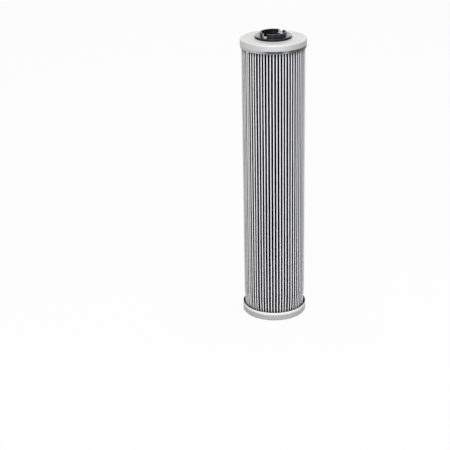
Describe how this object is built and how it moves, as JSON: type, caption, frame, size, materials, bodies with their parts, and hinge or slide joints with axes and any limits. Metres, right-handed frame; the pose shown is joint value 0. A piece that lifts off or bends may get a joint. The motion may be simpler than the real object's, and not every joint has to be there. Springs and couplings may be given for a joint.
{
  "type": "pleated filter element",
  "caption": "Tall cylindrical filter element: a star-folded mesh-faced pack between two pressed steel caps, open at the bottom, with a slotted black collar on top.",
  "frame": {"origin": "centre of the bottom end cap's face, on the element's axis", "axes": "+Z along the axis towards the collar, -Y towards the viewer"},
  "size_m": [0.078, 0.078, 0.3537],
  "materials": {
    "cap_steel": "satin zinc-plated pressed sheet",
    "adhesive": "cured dark potting adhesive",
    "core_steel": "dark coated perforated sheet",
    "mesh_web": "folded web faced with fine woven wire mesh",
    "clip_steel": "folded strip",
    "collar_plastic": "black moulded, semi-gloss"
  },
  "bodies": {
    "root": {"top_end_cap": "cap_steel", "bottom_end_cap": "cap_steel", "top_adhesive_bed": "adhesive", "bottom_adhesive_bed": "adhesive", "perforated_core": "core_steel", "pleat_pack": "mesh_web", "seam_clip": "clip_steel", "bayonet_collar": "collar_plastic"}
  },
  "joints": []
}
